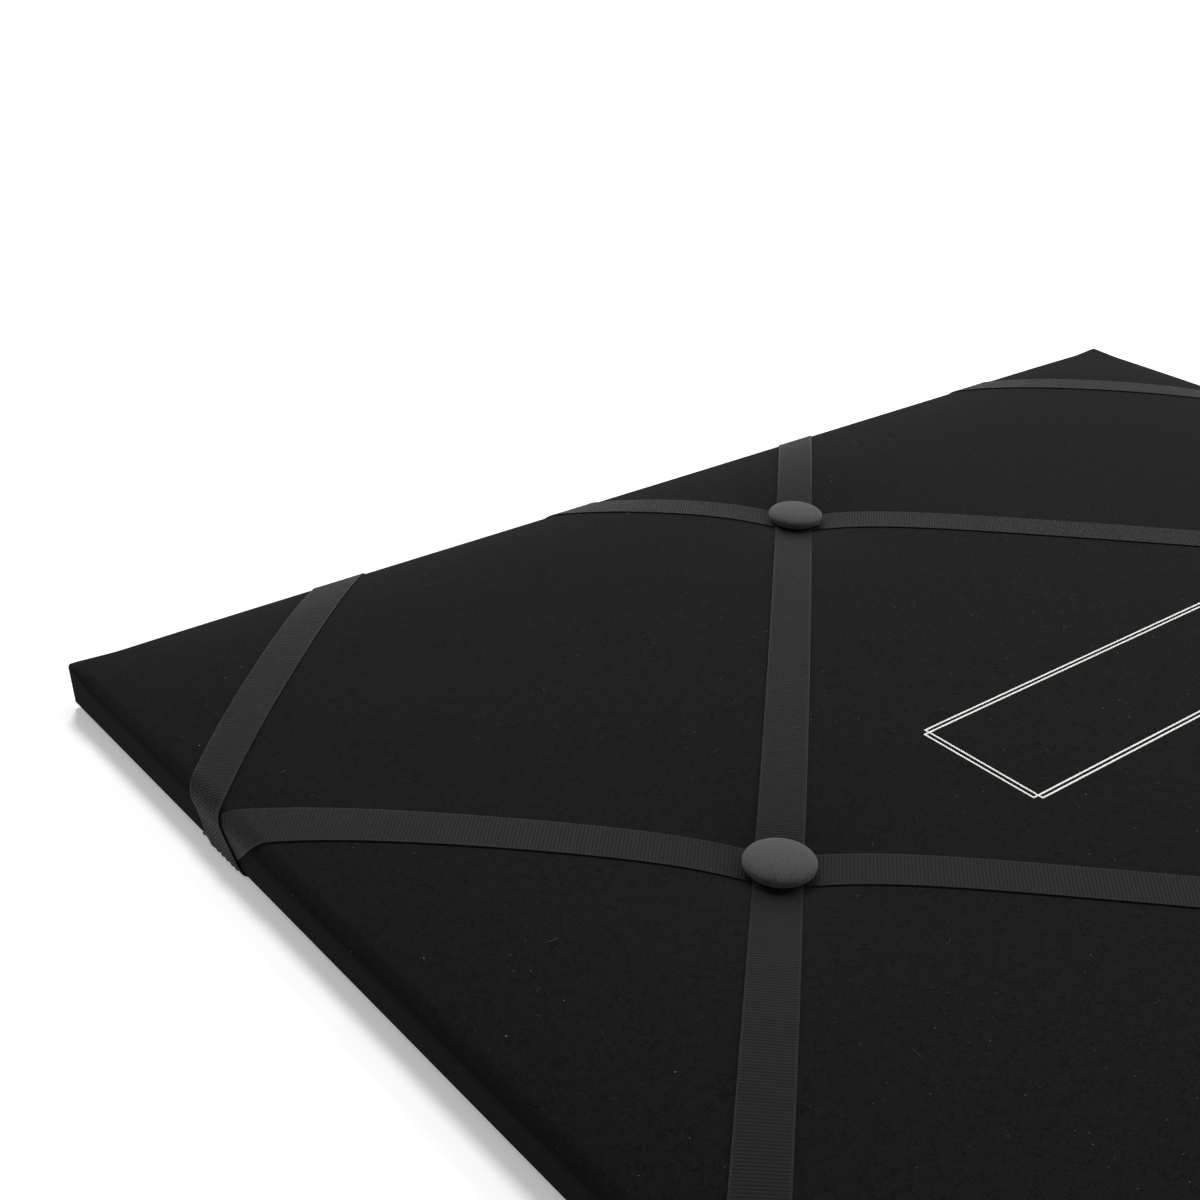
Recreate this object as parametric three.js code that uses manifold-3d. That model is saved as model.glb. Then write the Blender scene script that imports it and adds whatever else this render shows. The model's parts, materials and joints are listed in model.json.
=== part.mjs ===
// Padded french memo board, lying on its back. A lath frame carries a hardboard face and a foam pad.
// Cloth is stretched over them, ribbons cross the corners under covered buttons, and two ring hangers
// sit in the open back.
// Millimetres. The origin is under the middle of the board, on the surface that it lies on. +X runs
// along the board's top edge, +Y points to that edge and +Z out of the padded face.
import * as THREE from "three";
import { mergeVertices } from "three/addons/utils/BufferGeometryUtils.js";
import Module from "manifold-3d";

const wasm = await Module();
wasm.setup();

// Board and cloth
const BOARD_WIDTH = 430;
const BOARD_HEIGHT = 360;
const CLOTH_THICKNESS = 0.5;
const LAY_GAP = 0.25; // room between layers that lie on each other
const HEM_WIDTH = 18;

// Lath frame and face panel
const RAIL_WIDTH = 26;
const RAIL_THICKNESS = 6;
const MITRE_GAP = 0.2;
const PANEL_THICKNESS = 2.5;

// Padding: it rises from the rim and is drawn down at the buttons
const RIM_ROUND = 2.5;
const CROWN = 5.75;
const CROWN_REACH = 19; // distance from the rim in which most of the crown rises
const TUFT_DEPTH = 3.2;
const TUFT_REACH = 16; // distance from the button in which most of the tuft fades
const TUFT_MARGIN = 0.5; // flat seat round the button
const RIM_LINES = [6, 18]; // mesh lines beside the rim
const WIDEST_CELL = 40;

// Ribbons: each crosses one corner at 45 degrees, as far from it along both edges
const RIBBON_WIDTH = 11;
const RIBBON_THICKNESS = 0.4;
const SHORT_RIBBON_CUT = 79.4;
const RIBBON_TAIL = 14; // what is turned under, measured in from the edge
const RIBBON_STEP = 5;
const RIBBON_LIFT_RUN = 8; // how soon an upper ribbon comes down beside a crossing

// Buttons: the long ribbons cross at the middle of each edge, this far in at the top and bottom
const TOP_BUTTON_INSET = 51.6;
const BUTTON_DIAMETER = 16.6;
const BUTTON_DOME = 2.6;
const BUTTON_EDGE = 1.1; // rolled edge under the dome
const BUTTON_SHELL = 0.6;
const BUTTON_LIP = 2.4; // how far the shell is turned in under the back plate
const BUTTON_BACK_THICKNESS = 0.8;
const BUTTON_SIDES = 24;
const DOME_STEPS = 6;
const EDGE_STEPS = 3;
const PRONG_WIDTH = 2.4;
const PRONG_LEG = 0.7;
const PRONG_SLIT = 0.3;
const PRONG_HEAD = 5;
const PRONG_FOOT = 6; // reach of each leg spread behind the panel
const PIERCE_PLAY = 0.3;
const PIERCE_SIDES = 10;
const WASHER_DIAMETER = 14;
const WASHER_THICKNESS = 0.8;

// Hangers
const HANGER_SPACING = 220;
const HANGER_DROP = 20; // from the top rail down to the line that the rings turn on
const STRAP_WIDTH = 10;
const STRAP_THICKNESS = 0.8;
const STRAP_LENGTH = 23;
const STRAP_SEGMENTS = 12;
const RING_WIRE = 2;
const RING_PLAY = 0.3;
const RING_WIDTH = 20;
const RING_REACH = 12; // from the turning line to the middle of the bow's wire
const RING_CORNER = 3;
const RING_SEGMENTS = 32;
const RING_SIDES = 8;
const RING_FLOOR_GAP = 0.3;
const RIVET_SHANK = 3;
const RIVET_HEAD = 6;
const RIVET_HEAD_HEIGHT = 1.1;
const RIVET_FLARE = 5.4;
const RIVET_FLARE_HEIGHT = 0.6;
const RIVET_SET = 6; // from the rivet to the strap's round end
const RIVET_PLAY = 0.2;
const ROUND_SIDES = 16;

const CUT_THROUGH = 1; // how far a cutter reaches past what it cuts
const MERGE = 1e-4;

// Levels, from the surface up
const RIBBON_LAYER = RIBBON_THICKNESS + LAY_GAP;
const HEM_BOTTOM = 2 * RIBBON_LAYER;
const HEM_TOP = HEM_BOTTOM + CLOTH_THICKNESS;
const RAIL_BOTTOM = HEM_TOP + LAY_GAP;
const PANEL_BOTTOM = RAIL_BOTTOM + RAIL_THICKNESS;
const PANEL_TOP = PANEL_BOTTOM + PANEL_THICKNESS;
const WALL_TOP = PANEL_TOP + LAY_GAP;
const RIM = WALL_TOP + RIM_ROUND;
const WALL_HEIGHT = WALL_TOP - HEM_BOTTOM;

// Plan
const HALF_WIDTH = BOARD_WIDTH / 2;
const HALF_HEIGHT = BOARD_HEIGHT / 2;
const CORE_INSET = CLOTH_THICKNESS + LAY_GAP;
const LONG_RIBBON_CUT = HALF_WIDTH + TOP_BUTTON_INSET;
const SIDE_BUTTON_INSET = LONG_RIBBON_CUT - HALF_HEIGHT;
const BUTTON_RADIUS = BUTTON_DIAMETER / 2;
const TUFT_SEAT = BUTTON_RADIUS + TUFT_MARGIN;
const PIERCE_RADIUS = Math.hypot(PRONG_WIDTH, 2 * PRONG_LEG + PRONG_SLIT) / 2 + PIERCE_PLAY;
const BUTTONS = [
  { place: "top", x: 0, y: HALF_HEIGHT - TOP_BUTTON_INSET },
  { place: "bottom", x: 0, y: TOP_BUTTON_INSET - HALF_HEIGHT },
  { place: "left", x: SIDE_BUTTON_INSET - HALF_WIDTH, y: 0 },
  { place: "right", x: HALF_WIDTH - SIDE_BUTTON_INSET, y: 0 },
];
const CORNERS = [
  { place: "top_left", east: -1, north: 1, over: true },
  { place: "bottom_right", east: 1, north: -1, over: true },
  { place: "top_right", east: 1, north: 1, over: false },
  { place: "bottom_left", east: -1, north: -1, over: false },
];
const EYE_RADIUS = RING_WIRE / 2 + RING_PLAY + STRAP_THICKNESS;
const HANGERS = [
  { place: "left", x: -HANGER_SPACING / 2 },
  { place: "right", x: HANGER_SPACING / 2 },
];
const HANGER_Y = HALF_HEIGHT - CORE_INSET - RAIL_WIDTH - HANGER_DROP;
const HANGER_Z = PANEL_BOTTOM - EYE_RADIUS;
const RIVET_Y = HANGER_Y - STRAP_LENGTH + RIVET_SET;

const board = new THREE.Group();

function addPart(name, geometry, color, roughness, metalness = 0) {
  const material = new THREE.MeshStandardMaterial({ color, roughness, metalness });
  const mesh = new THREE.Mesh(geometry, material);
  mesh.name = name;
  board.add(mesh);
  return mesh;
}

// Joins and cuts
function toSolid(geometry) {
  const loose = geometry.index ? geometry.toNonIndexed() : geometry;
  const bare = new THREE.BufferGeometry();
  bare.setAttribute("position", loose.getAttribute("position"));
  const merged = mergeVertices(bare, MERGE);
  const corners = merged.index.array;
  const kept = [];
  for (let i = 0; i < corners.length; i += 3) {
    const [a, b, c] = [corners[i], corners[i + 1], corners[i + 2]];
    if (a !== b && b !== c && c !== a) kept.push(a, b, c);
  }
  const vertProperties = merged.attributes.position.array;
  return new wasm.Manifold(new wasm.Mesh({ numProp: 3, vertProperties, triVerts: new Uint32Array(kept) }));
}

function toGeometry(solid) {
  const mesh = solid.getMesh();
  const geometry = new THREE.BufferGeometry();
  geometry.setAttribute("position", new THREE.BufferAttribute(new Float32Array(mesh.vertProperties), 3));
  geometry.setIndex(new THREE.BufferAttribute(new Uint32Array(mesh.triVerts), 1));
  geometry.computeVertexNormals();
  return geometry;
}

function cut(geometry, cutters) {
  const solid = cutters.reduce((left, cutter) => left.subtract(toSolid(cutter)), toSolid(geometry));
  return toGeometry(solid);
}

// Upright round bar between two levels
function uprightBar(x, y, radius, bottom, top, sides) {
  const bar = new THREE.CylinderGeometry(radius, radius, top - bottom, sides).rotateX(Math.PI / 2);
  return bar.translate(x, y, (bottom + top) / 2);
}

function block(width, height, bottom, top) {
  return new THREE.BoxGeometry(width, height, top - bottom).translate(0, 0, (bottom + top) / 2);
}

// Solid of revolution about an upright axis, from [radius, level] points
function turned(profile, sides) {
  const points = profile.map(([radius, level]) => new THREE.Vector2(radius, level));
  return toGeometry(toSolid(new THREE.LatheGeometry(points, sides).rotateX(Math.PI / 2)));
}

// Closed solid through rings of matching points, capped at its ends or joined end to end
function loft(rings, joined = false) {
  const around = rings[0].length;
  const index = [];
  const spans = joined ? rings.length : rings.length - 1;
  for (let k = 0; k < spans; k++) {
    for (let i = 0; i < around; i++) {
      const near = k * around;
      const far = ((k + 1) % rings.length) * around;
      const next = (i + 1) % around;
      index.push(near + i, near + next, far + next, near + i, far + next, far + i);
    }
  }
  const last = (rings.length - 1) * around;
  for (let i = 1; !joined && i < around - 1; i++) {
    index.push(0, i + 1, i, last, last + i, last + i + 1);
  }
  const geometry = new THREE.BufferGeometry().setFromPoints(rings.flat());
  geometry.setIndex(index);
  if (signedVolume(geometry) < 0) geometry.setIndex(index.reverse());
  geometry.computeVertexNormals();
  return geometry;
}

function signedVolume(geometry) {
  const position = geometry.getAttribute("position");
  const corners = geometry.index.array;
  const [a, b, c] = [new THREE.Vector3(), new THREE.Vector3(), new THREE.Vector3()];
  let volume = 0;
  for (let i = 0; i < corners.length; i += 3) {
    a.fromBufferAttribute(position, corners[i]);
    b.fromBufferAttribute(position, corners[i + 1]);
    c.fromBufferAttribute(position, corners[i + 2]);
    volume += a.dot(b.cross(c)) / 6;
  }
  return volume;
}

// Padded face: its height over the plan, from the rim's slope and the buttons' tufts
function faceHeight(x, y) {
  const fromSide = HALF_WIDTH - Math.abs(x);
  const fromEnd = HALF_HEIGHT - Math.abs(y);
  const rise = (distance) => 1 - Math.exp(-distance / CROWN_REACH);
  let crown = CROWN;
  for (const button of BUTTONS) {
    const besideSeat = Math.max(0, Math.abs(x - button.x) - TUFT_SEAT);
    const beforeSeat = Math.max(0, Math.abs(y - button.y) - TUFT_SEAT);
    crown -= TUFT_DEPTH * Math.exp(-Math.hypot(besideSeat, beforeSeat) / TUFT_REACH);
  }
  const rounding = Math.max(0, RIM_ROUND - Math.min(fromSide, fromEnd));
  return RIM + rise(fromSide) * rise(fromEnd) * crown - rounding;
}

// Mesh lines across the face, close together at the rim and about the buttons
function meshLines(half, buttonInset, inset) {
  const known = [RIM_ROUND, ...RIM_LINES, half - TUFT_SEAT, half];
  known.push(buttonInset - TUFT_SEAT, buttonInset, buttonInset + TUFT_SEAT);
  const lines = [inset];
  for (const line of known.sort((a, b) => a - b)) {
    const from = lines[lines.length - 1];
    if (line - from < MERGE) continue;
    const cells = Math.ceil((line - from) / WIDEST_CELL);
    for (let k = 1; k <= cells; k++) lines.push(from + ((line - from) * k) / cells);
  }
  const rising = lines.map((line) => line - half);
  const falling = lines.slice(0, -1).reverse();
  return [...rising, ...falling.map((line) => half - line)];
}

// Pillow with the face's form, set in from the board's outline and lowered below its face
function pillow(inset, drop, bottom) {
  const xs = meshLines(HALF_WIDTH, SIDE_BUTTON_INSET, inset);
  const ys = meshLines(HALF_HEIGHT, TOP_BUTTON_INSET, inset);
  const form = new THREE.BoxGeometry(1, 1, 1, xs.length - 1, ys.length - 1, 1);
  const position = form.getAttribute("position");
  for (let i = 0; i < position.count; i++) {
    const x = xs[Math.round((position.getX(i) + 0.5) * (xs.length - 1))];
    const y = ys[Math.round((position.getY(i) + 0.5) * (ys.length - 1))];
    const z = position.getZ(i) > 0 ? faceHeight(x, y) - drop : bottom - CUT_THROUGH;
    position.setXYZ(i, x, y, z);
  }
  return cut(form, [block(2 * BOARD_WIDTH, 2 * BOARD_HEIGHT, bottom - 2 * CUT_THROUGH, bottom)]);
}

// Height of the stretched cloth, read off the flat triangles that its solid is made of
const CLOTH_X = meshLines(HALF_WIDTH, SIDE_BUTTON_INSET, 0);
const CLOTH_Y = meshLines(HALF_HEIGHT, TOP_BUTTON_INSET, 0);

function cellOf(lines, value) {
  const after = lines.findIndex((line) => line > value);
  const index = after < 0 ? lines.length - 2 : Math.max(0, after - 1);
  return [index, (value - lines[index]) / (lines[index + 1] - lines[index])];
}

function clothHeight(x, y) {
  const [i, across] = cellOf(CLOTH_X, x);
  const [j, up] = cellOf(CLOTH_Y, y);
  const near = faceHeight(CLOTH_X[i], CLOTH_Y[j]);
  const far = faceHeight(CLOTH_X[i + 1], CLOTH_Y[j + 1]);
  if (across > up) {
    const right = faceHeight(CLOTH_X[i + 1], CLOTH_Y[j]);
    return near + across * (right - near) + up * (far - right);
  }
  const left = faceHeight(CLOTH_X[i], CLOTH_Y[j + 1]);
  return near + up * (left - near) + across * (far - left);
}

function pierces(bottom, top) {
  return BUTTONS.map(({ x, y }) => uprightBar(x, y, PIERCE_RADIUS, bottom, top, PIERCE_SIDES));
}

// Lath frame: four rails with mitred ends
function buildFrame() {
  const outerWidth = BOARD_WIDTH - 2 * CORE_INSET;
  const outerHeight = BOARD_HEIGHT - 2 * CORE_INSET;
  const sides = [
    { name: "rail_top", length: outerWidth, out: outerHeight / 2, turn: 0 },
    { name: "rail_left", length: outerHeight, out: outerWidth / 2, turn: Math.PI / 2 },
    { name: "rail_bottom", length: outerWidth, out: outerHeight / 2, turn: Math.PI },
    { name: "rail_right", length: outerHeight, out: outerWidth / 2, turn: -Math.PI / 2 },
  ];
  for (const { name, length, out, turn } of sides) {
    const half = length / 2 - MITRE_GAP;
    const outline = new THREE.Shape();
    outline.moveTo(-half, out);
    outline.lineTo(-half + RAIL_WIDTH, out - RAIL_WIDTH);
    outline.lineTo(half - RAIL_WIDTH, out - RAIL_WIDTH);
    outline.lineTo(half, out);
    const lath = new THREE.ExtrudeGeometry(outline, { depth: RAIL_THICKNESS, bevelEnabled: false });
    const rail = addPart(name, lath, 0xc9a877, 0.75);
    rail.position.z = RAIL_BOTTOM;
    rail.rotation.z = turn;
  }
}

// Hardboard face panel, drilled for the prongs and counterbored for the rivets
function buildPanel() {
  const width = BOARD_WIDTH - 2 * CORE_INSET;
  const height = BOARD_HEIGHT - 2 * CORE_INSET;
  const panel = block(width, height, PANEL_BOTTOM, PANEL_TOP);
  const cutters = pierces(PANEL_BOTTOM - CUT_THROUGH, PANEL_TOP + CUT_THROUGH);
  const flareSeat = PANEL_TOP - RIVET_FLARE_HEIGHT - RIVET_PLAY;
  for (const { x } of HANGERS) {
    const shankHole = RIVET_SHANK / 2 + RIVET_PLAY;
    const flareHole = RIVET_FLARE / 2 + RIVET_PLAY;
    cutters.push(uprightBar(x, RIVET_Y, shankHole, PANEL_BOTTOM - CUT_THROUGH, PANEL_TOP, ROUND_SIDES));
    cutters.push(uprightBar(x, RIVET_Y, flareHole, flareSeat, PANEL_TOP + CUT_THROUGH, ROUND_SIDES));
  }
  addPart("face_panel", cut(panel, cutters), 0x7d5b3c, 0.8);
}

// Foam pad and the cloth stretched over it, down the sides and under the rails
function buildPadding() {
  const highest = RIM + CROWN + CUT_THROUGH;
  const pad = pillow(RIM_ROUND, CLOTH_THICKNESS + LAY_GAP, PANEL_TOP);
  addPart("foam_pad", cut(pad, pierces(PANEL_TOP - CUT_THROUGH, highest)), 0xe6e0cf, 0.95);

  const outside = pillow(0, 0, HEM_BOTTOM);
  const inside = pillow(CLOTH_THICKNESS, CLOTH_THICKNESS, HEM_TOP);
  const backOpening = block(
    BOARD_WIDTH - 2 * HEM_WIDTH,
    BOARD_HEIGHT - 2 * HEM_WIDTH,
    HEM_BOTTOM - CUT_THROUGH,
    HEM_TOP + CUT_THROUGH,
  );
  const cutters = [inside, backOpening, ...pierces(PANEL_TOP, highest)];
  addPart("cover_cloth", cut(outside, cutters), 0x1b1b1d, 0.95);
}

// How far an upper ribbon is lifted at a depth in from an edge, or past it when negative, over the
// ribbons that it crosses there
function liftAt(depth, crossings) {
  const flat = RIBBON_WIDTH * Math.SQRT1_2 + RIBBON_STEP * Math.SQRT1_2;
  const lifts = crossings.map((crossing) => {
    const beyond = Math.abs(depth - crossing) - flat;
    return RIBBON_LAYER * (1 - THREE.MathUtils.smoothstep(beyond, 0, RIBBON_LIFT_RUN));
  });
  return Math.max(0, ...lifts);
}

// Ribbon across one corner, laid over the face, the rim and the side and turned under at both ends
function ribbonStrip(corner, ribbonCut) {
  const { east, north, over } = corner;
  const half = RIBBON_WIDTH * Math.SQRT1_2;
  const otherCuts = [LONG_RIBBON_CUT, SHORT_RIBBON_CUT];
  const crossings = (edge) => (over ? otherCuts.map((other) => (ribbonCut + other - edge) / 2) : []);
  const atEnd = crossings(BOARD_WIDTH);
  const atSide = crossings(BOARD_HEIGHT);
  const place = (fromSide, fromEnd, z) =>
    new THREE.Vector3(east * (HALF_WIDTH - fromSide), north * (HALF_HEIGHT - fromEnd), z);

  // One section: the under and upper faces at both edges of the ribbon
  const section = (pointAt) => [
    pointAt(ribbonCut - half, 0),
    pointAt(ribbonCut + half, 0),
    pointAt(ribbonCut + half, RIBBON_THICKNESS),
    pointAt(ribbonCut - half, RIBBON_THICKNESS),
  ];
  const facePoint = (fromSide, fromEnd, height) => {
    const lift = Math.max(liftAt(fromEnd, atEnd), liftAt(fromSide, atSide));
    const point = place(fromSide, fromEnd, 0);
    return point.setZ(clothHeight(point.x, point.y) + LAY_GAP + lift + height);
  };
  // Past the rim the ribbon runs on at the same slant, so it moves along the edge as far as it goes down
  const wrapped = (layAlong, lifts) => {
    const offset = (past, height) => LAY_GAP + liftAt(-past, lifts) + height;
    const sections = [
      section((along, height) => layAlong(along, -offset(0, height), WALL_TOP)),
      section((along, height) => {
        const out = offset(WALL_HEIGHT, height);
        return layAlong(along + WALL_HEIGHT, -out, HEM_BOTTOM - out);
      }),
    ];
    const steps = Math.ceil((RIBBON_TAIL * Math.SQRT2) / RIBBON_STEP);
    for (let k = 1; k <= steps; k++) {
      const inward = (RIBBON_TAIL * k) / steps;
      const past = WALL_HEIGHT + inward;
      const underHem = (height) => HEM_BOTTOM - offset(past, height);
      sections.push(section((along, height) => layAlong(along + past, inward, underHem(height))));
    }
    return sections;
  };

  const endWrap = wrapped((along, depth, z) => place(along, depth, z), atEnd);
  const sideWrap = wrapped((along, depth, z) => place(depth, along, z), atSide);
  const rings = endWrap.reverse();
  const steps = Math.ceil((ribbonCut * Math.SQRT2) / RIBBON_STEP);
  for (let k = 0; k <= steps; k++) {
    rings.push(
      section((along, height) => {
        const fromEnd = RIM_ROUND + ((along - 2 * RIM_ROUND) * k) / steps;
        return facePoint(along - fromEnd, fromEnd, height);
      }),
    );
  }
  rings.push(...sideWrap);
  return loft(rings);
}

function buildRibbons() {
  const holes = pierces(PANEL_TOP, RIM + CROWN + CUT_THROUGH);
  for (const corner of CORNERS) {
    const long = cut(ribbonStrip(corner, LONG_RIBBON_CUT), holes);
    addPart(`ribbon_${corner.place}_long`, long, 0x2a2a2c, 0.7);
    addPart(`ribbon_${corner.place}_short`, ribbonStrip(corner, SHORT_RIBBON_CUT), 0x2a2a2c, 0.7);
  }
}

// Point on the quarter of an ellipse from its highest point to its widest
function quarterEllipse(width, height, level, steps) {
  const points = [];
  for (let k = 0; k <= steps; k++) {
    const angle = ((Math.PI / 2) * k) / steps;
    points.push([width * Math.sin(angle), level + height * Math.cos(angle)]);
  }
  return points;
}

// Covered button: domed shell with its lip turned in, back plate, split prong and washer
function buildButtons() {
  const cavity = BUTTON_RADIUS - BUTTON_EDGE;
  const innerDome = BUTTON_DOME - BUTTON_SHELL;
  const plateBottom = BUTTON_SHELL + LAY_GAP;
  const plateTop = plateBottom + BUTTON_BACK_THICKNESS;
  const intoDome = Math.max(0, plateTop - BUTTON_EDGE) / innerDome;
  const plateRadius = cavity * Math.sqrt(1 - intoDome * intoDome) - LAY_GAP;
  const outerDome = quarterEllipse(BUTTON_RADIUS, BUTTON_DOME, BUTTON_EDGE, DOME_STEPS);
  const rolledEdge = quarterEllipse(BUTTON_EDGE, BUTTON_EDGE, 0, EDGE_STEPS).map(([radius, level]) => [
    BUTTON_RADIUS - BUTTON_EDGE + radius,
    BUTTON_EDGE - level,
  ]);
  const innerFace = quarterEllipse(cavity, innerDome, BUTTON_EDGE, EDGE_STEPS);
  const shell = [
    ...outerDome,
    ...rolledEdge.reverse().slice(1),
    [BUTTON_RADIUS - BUTTON_LIP, 0],
    [BUTTON_RADIUS - BUTTON_LIP, BUTTON_SHELL],
    [cavity, BUTTON_SHELL],
    ...innerFace.reverse(),
  ].reverse();
  const plate = [
    [PIERCE_RADIUS, plateBottom],
    [plateRadius, plateBottom],
    [plateRadius, plateTop],
    [PIERCE_RADIUS, plateTop],
    [PIERCE_RADIUS, plateBottom],
  ];
  const washerTop = PANEL_BOTTOM;
  const washerBottom = washerTop - WASHER_THICKNESS;
  const washer = [
    [PIERCE_RADIUS, washerBottom],
    [WASHER_DIAMETER / 2, washerBottom],
    [WASHER_DIAMETER / 2, washerTop],
    [PIERCE_RADIUS, washerTop],
    [PIERCE_RADIUS, washerBottom],
  ];

  for (const { place, x, y } of BUTTONS) {
    const seat = buttonSeat(x, y);
    const prong = splitProng(seat + plateTop + LAY_GAP, washerBottom);
    const pieces = [
      addPart(`button_cap_${place}`, turned(shell, BUTTON_SIDES), 0x343436, 0.8),
      addPart(`button_back_${place}`, turned(plate, BUTTON_SIDES), 0xb7b9bb, 0.45, 1),
      addPart(`button_prong_${place}`, prong, 0xb7b9bb, 0.4, 1),
      addPart(`button_washer_${place}`, turned(washer, BUTTON_SIDES), 0xb7b9bb, 0.45, 1),
    ];
    for (const piece of pieces) piece.position.set(x, y, 0);
    for (const piece of pieces.slice(0, 2)) piece.position.z = seat;
  }
}

// Level of a button's underside: just clear of both ribbons wherever it covers them
function buttonSeat(x, y) {
  let highest = clothHeight(x, y);
  for (let k = 0; k < ROUND_SIDES; k++) {
    const angle = (2 * Math.PI * k) / ROUND_SIDES;
    const rimX = x + BUTTON_RADIUS * Math.cos(angle);
    const rimY = y + BUTTON_RADIUS * Math.sin(angle);
    highest = Math.max(highest, clothHeight(rimX, rimY));
  }
  return highest + 2 * RIBBON_LAYER + LAY_GAP;
}

// Two flat legs from a cross head, spread outwards below a level
function splitProng(headBottom, spreadLevel) {
  const legOut = PRONG_SLIT / 2 + PRONG_LEG;
  const footOut = legOut + PRONG_FOOT;
  const footBottom = spreadLevel - PRONG_LEG;
  const outline = new THREE.Shape();
  outline.moveTo(footOut, spreadLevel);
  outline.lineTo(legOut, spreadLevel);
  outline.lineTo(legOut, headBottom);
  outline.lineTo(PRONG_HEAD / 2, headBottom);
  outline.lineTo(PRONG_HEAD / 2, headBottom + PRONG_LEG);
  outline.lineTo(-PRONG_HEAD / 2, headBottom + PRONG_LEG);
  outline.lineTo(-PRONG_HEAD / 2, headBottom);
  outline.lineTo(-legOut, headBottom);
  outline.lineTo(-legOut, spreadLevel);
  outline.lineTo(-footOut, spreadLevel);
  outline.lineTo(-footOut, footBottom);
  outline.lineTo(-PRONG_SLIT / 2, footBottom);
  outline.lineTo(-PRONG_SLIT / 2, headBottom);
  outline.lineTo(PRONG_SLIT / 2, headBottom);
  outline.lineTo(PRONG_SLIT / 2, footBottom);
  outline.lineTo(footOut, footBottom);
  const prong = new THREE.ExtrudeGeometry(outline, { depth: PRONG_WIDTH, bevelEnabled: false });
  return prong.translate(0, 0, -PRONG_WIDTH / 2).rotateX(Math.PI / 2);
}

// Strap with a rolled eye: a flat tail against the panel, curled round the ring's bar
function hangerStrap() {
  const underside = EYE_RADIUS - STRAP_THICKNESS;
  const side = new THREE.Shape();
  side.moveTo(-STRAP_LENGTH, underside);
  side.lineTo(-STRAP_LENGTH, EYE_RADIUS);
  side.lineTo(0, EYE_RADIUS);
  side.absarc(0, 0, EYE_RADIUS, Math.PI / 2, -Math.PI - Math.asin(underside / EYE_RADIUS), true);
  const eye = new THREE.Path();
  eye.absarc(0, 0, RING_WIRE / 2 + RING_PLAY, 0, 2 * Math.PI, false);
  side.holes.push(eye);
  const flat = { depth: STRAP_WIDTH, curveSegments: STRAP_SEGMENTS, bevelEnabled: false };
  const rolled = new THREE.ExtrudeGeometry(side, flat);
  rolled.translate(0, 0, -STRAP_WIDTH / 2);
  rolled.rotateX(Math.PI / 2).rotateZ(Math.PI / 2);

  const plan = new THREE.Shape();
  const halfWidth = STRAP_WIDTH / 2;
  plan.moveTo(halfWidth, EYE_RADIUS + CUT_THROUGH);
  plan.lineTo(-halfWidth, EYE_RADIUS + CUT_THROUGH);
  plan.lineTo(-halfWidth, halfWidth - STRAP_LENGTH);
  plan.absarc(0, halfWidth - STRAP_LENGTH, halfWidth, Math.PI, 2 * Math.PI, false);
  const depth = 2 * (EYE_RADIUS + CUT_THROUGH);
  const blank = new THREE.ExtrudeGeometry(plan, { ...flat, depth });
  blank.translate(0, 0, -depth / 2);
  const hole = uprightBar(0, RIVET_Y - HANGER_Y, RIVET_SHANK / 2 + RIVET_PLAY, 0, depth, ROUND_SIDES);
  return toGeometry(toSolid(rolled).intersect(toSolid(blank)).subtract(toSolid(hole)));
}

// D-shaped wire ring, its bar on the turning line and its bow pointing to the board's top edge
function hangerRing() {
  const straight = RING_WIDTH / 2 - RING_CORNER;
  const bow = new THREE.Path();
  bow.moveTo(-straight, 0);
  bow.lineTo(straight, 0);
  bow.absarc(straight, RING_CORNER, RING_CORNER, -Math.PI / 2, 0, false);
  bow.absellipse(0, RING_CORNER, RING_WIDTH / 2, RING_REACH - RING_CORNER, 0, Math.PI, false);
  bow.absarc(-straight, RING_CORNER, RING_CORNER, Math.PI, 1.5 * Math.PI, false);
  const line = bow.getSpacedPoints(RING_SEGMENTS).slice(0, RING_SEGMENTS);
  const rings = line.map((point, k) => {
    const before = line[(k + RING_SEGMENTS - 1) % RING_SEGMENTS];
    const after = line[(k + 1) % RING_SEGMENTS];
    const along = after.clone().sub(before).normalize();
    return Array.from({ length: RING_SIDES }, (_, i) => {
      const angle = (2 * Math.PI * i) / RING_SIDES;
      const out = (RING_WIRE / 2) * Math.cos(angle);
      const up = (RING_WIRE / 2) * Math.sin(angle);
      return new THREE.Vector3(point.x + along.y * out, point.y - along.x * out, up);
    });
  });
  return loft(rings, true);
}

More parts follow.
